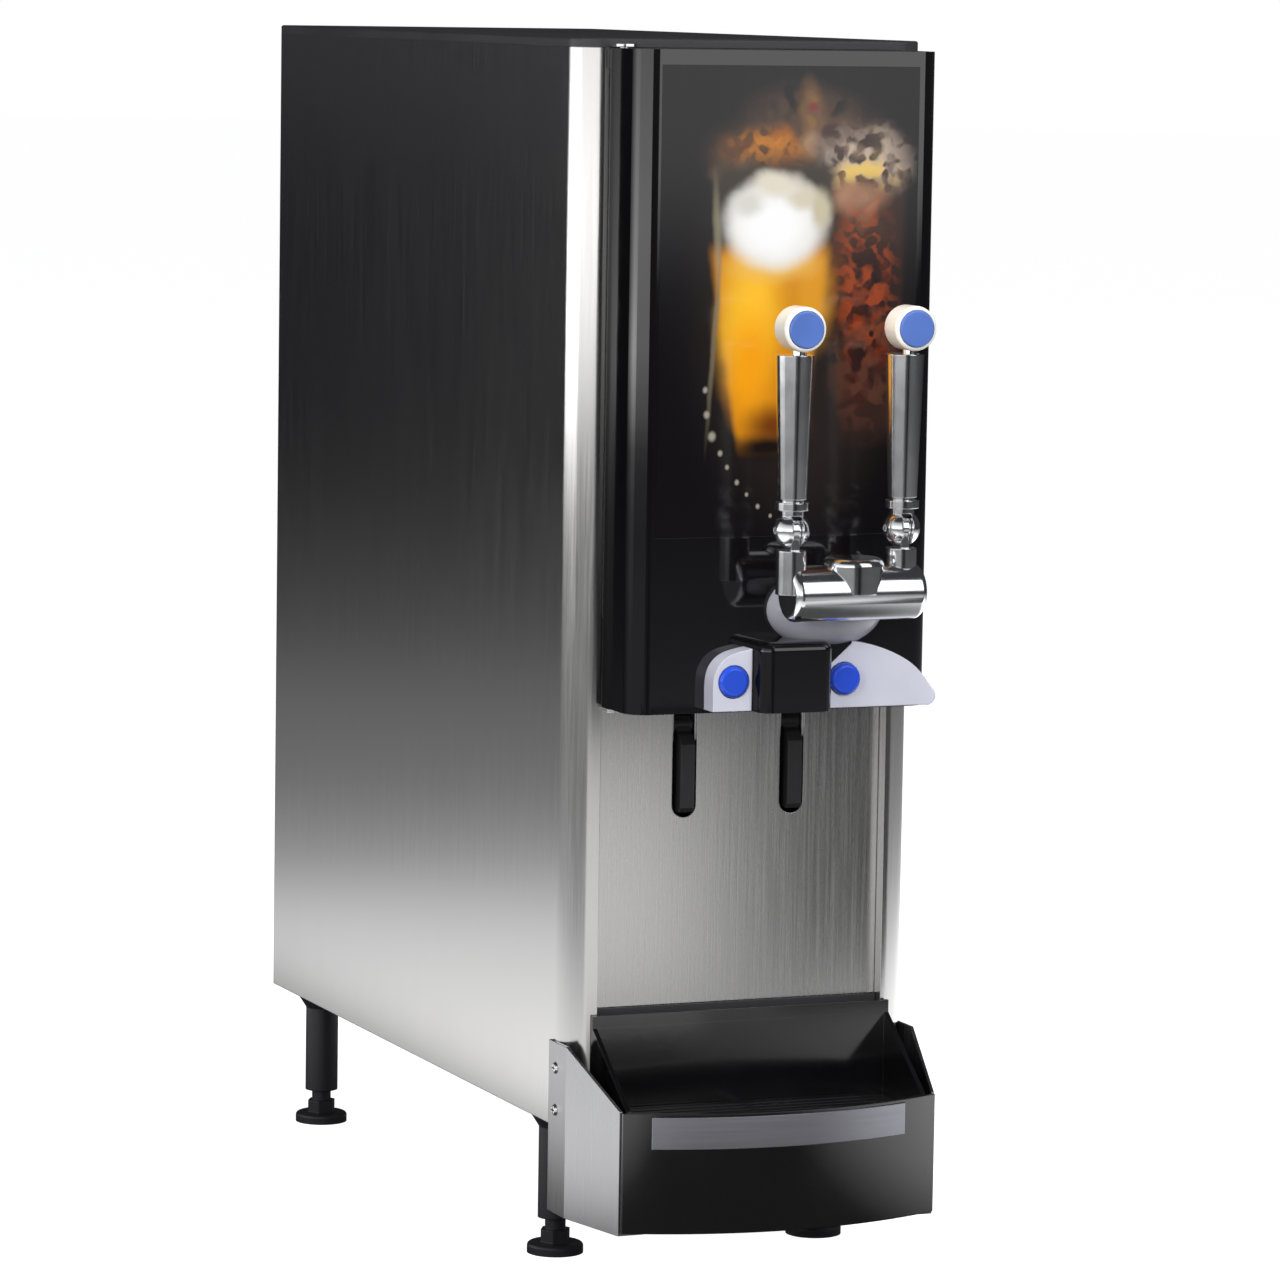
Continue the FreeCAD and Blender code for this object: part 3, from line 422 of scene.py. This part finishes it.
def skin(made, rings):
    """Joins rings of points with quads and caps both ends."""
    loops = [[made.verts.new(point) for point in ring] for ring in rings]
    count = len(loops[0])
    for low, high in zip(loops, loops[1:]):
        for k in range(count):
            made.faces.new((low[k], low[(k + 1) % count], high[(k + 1) % count], high[k]))
    made.faces.new(loops[0][::-1])
    made.faces.new(loops[-1])


def hood_ring(x, low, fade):
    """Section across one hood: out along its face, and back along the inside of the sheet."""
    outer, inner = [], []
    for roll in HOOD_ROLL:
        out = HOOD_OUT * fade * math.sin(roll)
        height = low + HOOD_TALL * (1 - fade * (1 - math.cos(roll)))
        outer.append((x, REAR_HIGH.y + out, height + HOOD_LIP))
        inner.append((x, REAR_HIGH.y + max(0.0, out - HOOD_SHEET), height - HOOD_INSET))
    return outer + inner[::-1]


def louvre_hoods(made):
    for first, rows in HOOD_ROWS:
        for row in range(rows):
            low = first + HOOD_PITCH * row - HOOD_DROP
            for middle in HOOD_MIDDLES:
                rings = []
                for step in range(HOOD_STEPS + 1):
                    along = -1 + 2 * step / HOOD_STEPS
                    fade = max(0.06, 1 - abs(along) ** 6)
                    rings.append(hood_ring(middle + HOOD_HALF * along, low, fade))
                skin(made, rings)


def cross_recess_marks(made):
    """Near-black crosses sunk a little into the screw heads of the cheeks and of the rear sheet:
    painted shade of their cross recesses.
    """
    cross = [[(-wide, -tall), (wide, -tall), (wide, tall), (-wide, tall)]
             for tall, wide in ((RECESS_LONG, RECESS_SLIM), (RECESS_SLIM, RECESS_LONG))]
    for side in (-1, 1):
        faces = [side * (CHEEK_HEAD_X - RECESS_SUNK), side * (CHEEK_HEAD_X + RECESS_PROUD)]
        for height in CHEEK_SCREW_HEIGHTS:
            for bar in cross:
                skin(made, [[(x, FRONT_Y + CHEEK_SCREW_BACK + y, height + z) for y, z in bar]
                            for x in faces])
    head_y = REAR_HIGH.y + REAR_HEAD_OUT
    for side in (-1, 1):
        for height in REAR_SCREW_HEIGHTS:
            for bar in cross:
                skin(made, [[(side * REAR_SCREW_X + x, y, height + z) for x, z in bar]
                            for y in (head_y - RECESS_SUNK, head_y + RECESS_PROUD)])


zinc = brushed_steel("zinc_sheet", (0.55, 0.56, 0.57), 0.38, (60, 60, 60), 0.10)
dress(zinc, "rear_panel", "base_pan", "lever_bracket")
dress(brushed_steel("bright_zinc", (0.78, 0.78, 0.77), 0.22, (300, 300, 300), 0.04), "hinge_brackets",
      "screws")
hoods = new_piece("louvre_hoods", mesh_from("louvre_hoods", louvre_hoods, 0.7), zinc, "cabinet")
# The crosses are near black: painted shade in the screw recesses.
recess_painted_shade = moulded("recess_painted_shade", (0.01, 0.01, 0.01), 0.7, 900.0)
recesses = new_piece("screw_recess_shade", mesh_from("screw_recess_shade", cross_recess_marks), recess_painted_shade,
                     "cabinet")

# ---- Inlets and switch at the back: mains inlet, rocker and threaded water inlet.
# The inlet and the rocker are snap-in moulded parts. The water inlet is turned brass with a
# flare thread that a supply hose screws on.
dress(moulded("inlet_black", (0.018, 0.018, 0.02), 0.35, 500.0), "power_inlet")
dress(moulded("rocker_black", (0.014, 0.014, 0.015), 0.22, 300.0, 0.00001), "rocker_switch")
dress(brushed_steel("turned_brass", (0.72, 0.52, 0.24), 0.26, (20, 2600, 20), 0.06), "water_inlet",
      "solenoid_valves")

# ---- Legs and levelling feet: flared leg tubes with a screwed foot in each.
# Satin black moulded legs bolt under the pan. Each foot is a turned disc with a hexagon and a
# stem that screws into its leg.
dress(moulded("leg_black", (0.010, 0.010, 0.013), 0.46, 260.0, 0.00006, 0.0012), "legs",
      "foot_front_left", "foot_front_right", "foot_rear_left", "foot_rear_right")

# ---- Door: gloss black shell with its liner, gasket, lamp board and cam lock.
# The shell is a deep polished moulding with rounded front corners. A white liner snaps in behind,
# a soft black seal runs round it, and a chrome cam lock holds the handle side.


def gloss_black(name, colour):
    gloss = Surface(name, colour, 0.07)
    ripple = gloss.noise((26, 26, 26), 1.0)
    gloss.vary_roughness(gloss.noise((60, 60, 60), 4.0), 0.02)
    gloss.shader.inputs["Coat Roughness"].default_value = 0.04
    gloss.relief(ripple, 0.00008, 0.0003)
    # Faces turned sideways lose their coat and most of their specular, so the sides of the door shell
    # and nozzle hood read dark: painted shade.
    facing = gloss.nodes.new("ShaderNodeSeparateXYZ")
    sideways = gloss.nodes.new("ShaderNodeMath")
    sideways.operation = "ABSOLUTE"
    gloss.links.new(gloss.coords.node.outputs["Normal"], facing.inputs[0])
    gloss.links.new(facing.outputs["X"], sideways.inputs[0])
    gloss.links.new(gloss.ranged(sideways.outputs[0], 0.5, 0.0, 0.90, 0.99),
                    gloss.shader.inputs["Coat Weight"])
    gloss.links.new(gloss.ranged(sideways.outputs[0], 0.5, 0.04, 0.90, 0.99),
                    gloss.shader.inputs["Specular IOR Level"])
    return gloss


# The nozzle hood's flared corner over the right button is partly real trim and partly painted shadow of
# the pod.
dress(gloss_black("door_black", (0.004, 0.0035, 0.0045)), "door_shell", "nozzle_hood")
dress(moulded("liner_white", (0.80, 0.81, 0.82), 0.25, 200.0, 0.00001), "door_liner", "cold_liner")
dress(moulded("seal_black", (0.02, 0.02, 0.022), 0.6, 800.0), "door_gasket")
dress(moulded("lamp_board", (0.82, 0.82, 0.78), 0.5, 300.0), "light_board")
dress(brushed_steel("lock_chrome", (0.80, 0.81, 0.83), 0.12, (900, 60, 60), 0.02), "lock_barrel")

# ---- Picture: a lit film of two cold drinks behind clear acrylic in the door front.
# The film is printed on the back of a sheet set flush in the door: a golden drink with a pale
# head on the left, a dark cola on the right, and fruit and ice above. It is lit from behind.
PICTURE_GLOW = 1.0
PICTURE_GROUND = (6, 5, 6)


def printed_film():
    film = Surface("printed_film", (0.004, 0.0035, 0.0045), 0.13)
    nodes, links = film.nodes, film.links
    wobble = nodes.new("ShaderNodeTexNoise")
    wobble.inputs["Scale"].default_value = 55.0
    wobble.inputs["Detail"].default_value = 3.0
    links.new(film.coords, wobble.inputs["Vector"])
    shift = nodes.new("ShaderNodeVectorMath")
    shift.operation = "SUBTRACT"
    shift.inputs[1].default_value = (0.5, 0.5, 0.5)
    links.new(wobble.outputs["Color"], shift.inputs[0])

    def tone(colour):
        """A printed tone, given from 0 to 255, as light."""
        return tuple((c / 255.0) ** 2.2 for c in colour)

    ground = nodes.new("ShaderNodeRGB")
    ground.outputs[0].default_value = (*tone(PICTURE_GROUND), 1)
    painted = ground.outputs[0]

    def place(centre, half, turn, drift):
        moved = nodes.new("ShaderNodeVectorMath")
        moved.operation = "MULTIPLY_ADD"
        moved.inputs[1].default_value = (drift, 0.0, drift)
        links.new(shift.outputs[0], moved.inputs[0])
        links.new(film.coords, moved.inputs[2])
        mapping = nodes.new("ShaderNodeMapping")
        mapping.vector_type = "TEXTURE"
        mapping.inputs["Location"].default_value = (centre[0] * 0.001, 0, centre[1] * 0.001)
        mapping.inputs["Rotation"].default_value = (0, math.radians(turn), 0)
        mapping.inputs["Scale"].default_value = (half[0] * 0.001, 1e5, half[1] * 0.001)
        links.new(moved.outputs[0], mapping.inputs["Vector"])
        return mapping.outputs[0]

    def layer(mask, colour):
        """Paints a tone over all that is there, where the mask lets it."""
        nonlocal painted
        mix = nodes.new("ShaderNodeMix")
        mix.data_type = "RGBA"
        links.new(mask, mix.inputs[0])
        links.new(painted, mix.inputs[6])
        mix.inputs[7].default_value = (*tone(colour), 1)
        painted = mix.outputs[2]

    def faded(distance, soft, strength):
        """Full strength inside the shape, nothing outside, and a soft edge between."""
        node = nodes.new("ShaderNodeMapRange")
        node.interpolation_type = "SMOOTHSTEP"
        for index, value in enumerate((1.0 - soft, 1.0 + soft * 0.5, strength, 0.0), 1):
            node.inputs[index].default_value = value
        links.new(distance, node.inputs[0])
        return node.outputs[0]

    def dab(centre, half, colour, soft=0.35, turn=0.0, drift=0.004, strength=1.0):
        """A soft-edged oval of colour."""
        length = nodes.new("ShaderNodeVectorMath")
        length.operation = "LENGTH"
        links.new(place(centre, half, turn, drift), length.inputs[0])
        layer(faded(length.outputs["Value"], soft, strength), colour)

    def block(centre, half, colour, soft, taper):
        """A soft-edged upright panel, narrower at the foot by taper."""
        split = nodes.new("ShaderNodeSeparateXYZ")
        links.new(place(centre, half, 0.0, 0.0015), split.inputs[0])
        lean = nodes.new("ShaderNodeMath")
        lean.operation = "MULTIPLY_ADD"
        links.new(split.outputs["Z"], lean.inputs[0])
        lean.inputs[1].default_value = taper
        lean.inputs[2].default_value = 1.0 - taper
        across = nodes.new("ShaderNodeMath")
        across.operation = "DIVIDE"
        links.new(split.outputs["X"], across.inputs[0])
        links.new(lean.outputs[0], across.inputs[1])
        sizes = []
        for side in (across.outputs[0], split.outputs["Z"]):
            size = nodes.new("ShaderNodeMath")
            size.operation = "ABSOLUTE"
            links.new(side, size.inputs[0])
            sizes.append(size.outputs[0])
        widest = nodes.new("ShaderNodeMath")
        widest.operation = "SMOOTH_MAX"
        widest.inputs[2].default_value = 0.25
        links.new(sizes[0], widest.inputs[0])
        links.new(sizes[1], widest.inputs[1])
        layer(faded(widest.outputs[0], soft, 1.0), colour)

    def crumbs(centre, half, fineness, colour, share, strength):
        """Broken bits of colour inside a soft oval: cells of a pattern, some of them painted."""
        cells = nodes.new("ShaderNodeTexVoronoi")
        cells.feature = "SMOOTH_F1"
        cells.inputs["Scale"].default_value = fineness
        cells.inputs["Smoothness"].default_value = 1.0
        moved = nodes.new("ShaderNodeVectorMath")
        moved.operation = "MULTIPLY_ADD"
        moved.inputs[1].default_value = (0.012, 0.012, 0.012)
        links.new(shift.outputs[0], moved.inputs[0])
        links.new(film.coords, moved.inputs[2])
        links.new(moved.outputs[0], cells.inputs["Vector"])
        split = nodes.new("ShaderNodeSeparateColor")
        links.new(cells.outputs["Color"], split.inputs[0])
        chosen = nodes.new("ShaderNodeMapRange")
        for index, value in enumerate((share, share + 0.34, 1.0, 0.0), 1):
            chosen.inputs[index].default_value = value
        links.new(split.outputs[0], chosen.inputs[0])
        length = nodes.new("ShaderNodeVectorMath")
        length.operation = "LENGTH"
        links.new(place(centre, half, 0.0, 0.006), length.inputs[0])
        both = nodes.new("ShaderNodeMath")
        both.operation = "MULTIPLY"
        links.new(faded(length.outputs["Value"], 0.6, strength), both.inputs[0])
        links.new(chosen.outputs[0], both.inputs[1])
        layer(both.outputs[0], colour)

    # dim glow behind the drinks
    dab((10, 648), (84, 152), (30, 26, 24), 0.45)
    dab((8, 640), (70, 132), (38, 33, 29), 0.4)
    # ice and fruit above the glasses
    dab((10, 742), (62, 26), (74, 58, 44), 0.6, 0, 0.010)
    dab((-22, 738), (27, 17), (122, 80, 42), 0.7, 8, 0.012)
    dab((-4, 746), (10, 14), (168, 98, 26), 0.7, -20, 0.010)
    dab((-34, 728), (20, 11), (146, 112, 84), 0.7, 0, 0.010)
    dab((16, 762), (10, 26), (126, 92, 56), 0.6, -8, 0.008)
    dab((14, 746), (9, 9), (170, 140, 110), 0.6, 0, 0.008)
    dab((34, 742), (26, 20), (116, 96, 84), 0.7, 0, 0.014)
    dab((56, 738), (24, 22), (124, 104, 84), 0.7, 20, 0.016)
    dab((46, 722), (18, 12), (176, 138, 70), 0.7, 0, 0.010)
    dab((66, 726), (15, 16), (112, 90, 76), 0.7, 0, 0.014)
    dab((48, 752), (11, 7), (66, 52, 46), 0.6, 20, 0.010)
    dab((28, 757), (8, 6), (70, 48, 44), 0.6, -10, 0.010)
    dab((61, 741), (6, 4.5), (214, 190, 120), 0.6, 10, 0.006)
    dab((42, 735), (5, 4), (214, 202, 196), 0.6, -20, 0.006)
    dab((27, 738), (4, 6), (196, 178, 164), 0.6, 15, 0.006)
    dab((52, 727), (5, 3), (236, 192, 86), 0.6, 0, 0.006)
    dab((72, 732), (4, 5), (190, 170, 150), 0.6, 0, 0.006)
    dab((15, 771), (4.5, 3.2), (150, 34, 34), 0.6, 0, 0.003)
    crumbs((50, 738), (34, 30), 110.0, (58, 46, 42), 0.30, 0.85)
    crumbs((52, 734), (32, 26), 190.0, (196, 176, 160), 0.26, 0.8)
    crumbs((52, 726), (24, 14), 190.0, (236, 196, 90), 0.18, 0.8)
    crumbs((-20, 738), (34, 20), 120.0, (96, 60, 30), 0.35, 0.8)
    crumbs((-16, 742), (30, 16), 170.0, (196, 122, 36), 0.24, 0.8)
    crumbs((10, 766), (40, 20), 120.0, (88, 66, 52), 0.35, 0.6)
    # cola glass
    block((57, 640), (26, 84), (52, 36, 30), 0.2, 0.10)
    dab((50, 690), (20, 20), (104, 66, 44), 0.8, 0, 0.012)
    dab((46, 712), (22, 12), (168, 124, 96), 0.7, 0, 0.012)
    dab((38, 660), (9, 26), (108, 62, 32), 0.8, 0, 0.010)
    dab((53, 656), (6, 14), (132, 54, 30), 0.8, 10, 0.012)
    dab((66, 668), (5, 12), (120, 52, 28), 0.8, -14, 0.012)
    dab((61, 640), (5, 8), (146, 62, 32), 0.8, 0, 0.012)
    dab((48, 626), (6, 16), (110, 46, 28), 0.8, 12, 0.012)
    dab((66, 612), (5, 12), (96, 42, 28), 0.8, 0, 0.012)
    dab((50, 596), (10, 20), (66, 34, 28), 0.8, 0, 0.012)
    crumbs((54, 650), (24, 66), 130.0, (30, 22, 22), 0.40, 0.75)
    crumbs((54, 660), (22, 56), 190.0, (160, 70, 34), 0.22, 0.8)
    crumbs((54, 610), (24, 50), 150.0, (96, 60, 46), 0.26, 0.6)
    # left glass: clear wall, gold drink, head
    block((-11, 646), (46, 96), (58, 52, 43), 0.16, 0.22)
    block((-13, 616), (43, 66), (206, 132, 24), 0.16, 0.245)
    dab((-38, 640), (12, 46), (218, 156, 46), 0.9, 4, 0.004)
    dab((-24, 642), (21, 46), (255, 192, 46), 0.9, 2, 0.006)
    dab((-26, 604), (16, 36), (244, 158, 20), 0.9, 4, 0.006)
    dab((16, 652), (15, 34), (220, 150, 38), 0.9, 0, 0.008)
    dab((-10, 670), (30, 11), (236, 190, 96), 0.9, 0, 0.006)
    dab((-8, 566), (22, 14), (110, 58, 12), 0.9, 0, 0.004)
    dab((-13, 552), (30, 9), (26, 19, 15), 0.8, 0, 0.003)
    dab((-10, 697), (37, 31), (230, 228, 222), 0.30, 0, 0.004)
    dab((-12, 694), (29, 24), (250, 250, 250), 0.6, 0, 0.006)
    dab((-30, 709), (12, 10), (214, 212, 204), 0.7, 0, 0.008)
    dab((10, 713), (14, 9), (212, 202, 180), 0.7, 0, 0.008)
    dab((-10, 722), (18, 9), (222, 214, 196), 0.7, 0, 0.008)
    dab((22, 705), (8, 14), (196, 186, 158), 0.7, 0, 0.006)
    dab((-50.5, 690), (3.0, 34), (150, 142, 116), 0.8, -3, 0.002, 0.6)
    dab((-51.5, 622), (2.0, 60), (120, 112, 92), 0.8, 4, 0.002, 0.7)
    # drops on the lower left of the glass
    for x, z, r in ((-57, 590, 1.8), (-56, 574, 2.2), (-52, 560, 2.8), (-46, 549, 1.8), (-41, 540, 1.5),
                    (-34, 530, 1.6), (-27, 522, 1.3), (-19, 514, 1.5), (-10, 508, 1.2)):
        dab((x, z), (r, r * 1.2), (170, 164, 150), 0.7, 0, 0.001, 0.8)

    links.new(painted, film.shader.inputs["Emission Color"])
    film.shader.inputs["Emission Strength"].default_value = PICTURE_GLOW
    film.shader.inputs["Specular IOR Level"].default_value = 0.35
    return film


dress(printed_film(), "graphic_panel")

# ---- Apron, push buttons and their switches at the foot of the door.
# A pale grey moulding, tinted lavender as painted bluish light, arches over the nozzles, with a gloss
# black hood in its middle and a domed blue button on each side.
# The lavender tint of this pale grey is painted bluish light.
dress(moulded("apron_pale", (0.54, 0.545, 0.63), 0.22, 300.0, 0.00001, 0.0012), "apron")
dress(moulded("button_blue", (0.02, 0.07, 0.55), 0.16, 240.0, 0.00001, 0.0008), "push_button_left",
      "push_button_right")
dress(moulded("switch_black", (0.015, 0.015, 0.017), 0.4, 500.0), "button_switches")

# ---- Taps: grey pod, chrome cross bar and two pull handles with cream caps and blue badges.
# The bar and handles are polished, plated castings. A nut holds the bar's shank through the pod
# and the door, and each handle pivots on a pin in a lug of the bar.


def plated(name, colour, rough):
    plate = Surface(name, colour, rough, 1.0)
    smear = plate.noise((70, 70, 70), 4.0)
    plate.vary_roughness(smear, 0.025)
    plate.relief(plate.noise((18, 18, 18), 1.0), 0.00006, 0.0008)
    return plate


dress(plated("tap_chrome", (0.93, 0.94, 0.96), 0.14), "tap_body", "tap_handle_left",
      "tap_handle_right", "handle_pins")
dress(moulded("pod_grey", (0.36, 0.36, 0.41), 0.2, 260.0, 0.00001), "escutcheon")
dress(moulded("cap_cream", (0.80, 0.76, 0.68), 0.24, 260.0, 0.00001), "badge_cap_left",
      "badge_cap_right")
dress(moulded("badge_blue", (0.08, 0.15, 0.44), 0.14, 200.0, 0.00001), "badge_left", "badge_right")

# ---- Nozzles and cup levers.
# Two black mixing nozzles hang behind the apron. Below them a cup pushes a moulded lever back
# through its slot in the splash sheet.
dress(moulded("nozzle_black", (0.016, 0.016, 0.018), 0.35, 400.0), "nozzles")
dress(moulded("lever_black", (0.010, 0.010, 0.011), 0.45, 400.0), "cup_lever_left",
      "cup_lever_right")

# ---- Drip tray: bowed black tray with its grille and a plain silver band.
# The tray is a deep vacuum-formed part in semi-gloss black that slides between the cheeks. The
# grille lifts out, and a satin film strip is stuck on the bowed front.
tray_surface = moulded("tray_black", (0.003, 0.003, 0.0035), 0.14, 120.0, 0.00003, 0.0010, 0.04)
tray_surface.shader.inputs["Coat Weight"].default_value = 0.8
tray_surface.shader.inputs["Coat Roughness"].default_value = 0.10
dress(tray_surface, "drip_tray")
dress(moulded("grille_black", (0.007, 0.007, 0.008), 0.24, 240.0, 0.00003, 0.0006), "cup_grille")
dress(brushed_steel("silver_band", (0.36, 0.36, 0.40), 0.34, (10, 10, 900), 0.05), "tray_label")

# ---- Cold side inside the cabinet: drink bottles, coil and tubes.
# Milky bottles stand in the white liner. Food tube runs from the pumps to the nozzles, and a
# copper coil chills the water.
dress(moulded("bottle_milky", (0.74, 0.70, 0.58), 0.35, 120.0), "containers")
dress(moulded("tube_milky", (0.68, 0.70, 0.72), 0.3, 300.0), "tubing")
dress(brushed_steel("copper", (0.72, 0.38, 0.22), 0.24, (400, 400, 400), 0.08), "cooling_coil")

# ---- Machinery in the foot and back of the cabinet.
# Bought-in parts: an enamelled compressor, an aluminium condenser with its fan, a sheet control
# box and moulded pumps with roller rotors.
dress(moulded("compressor_enamel", (0.015, 0.015, 0.016), 0.28, 300.0), "compressor")
dress(brushed_steel("mill_aluminium", (0.60, 0.60, 0.62), 0.36, (40, 700, 40), 0.06), "condenser",
      "fan_motor", "control_box")
dress(moulded("fan_black", (0.02, 0.02, 0.022), 0.45, 400.0), "fan_blade")
dress(moulded("pump_grey", (0.22, 0.23, 0.25), 0.4, 400.0), "pump_heads")
dress(moulded("roller_natural", (0.72, 0.71, 0.66), 0.4, 400.0), "pump_rotor_left",
      "pump_rotor_right")
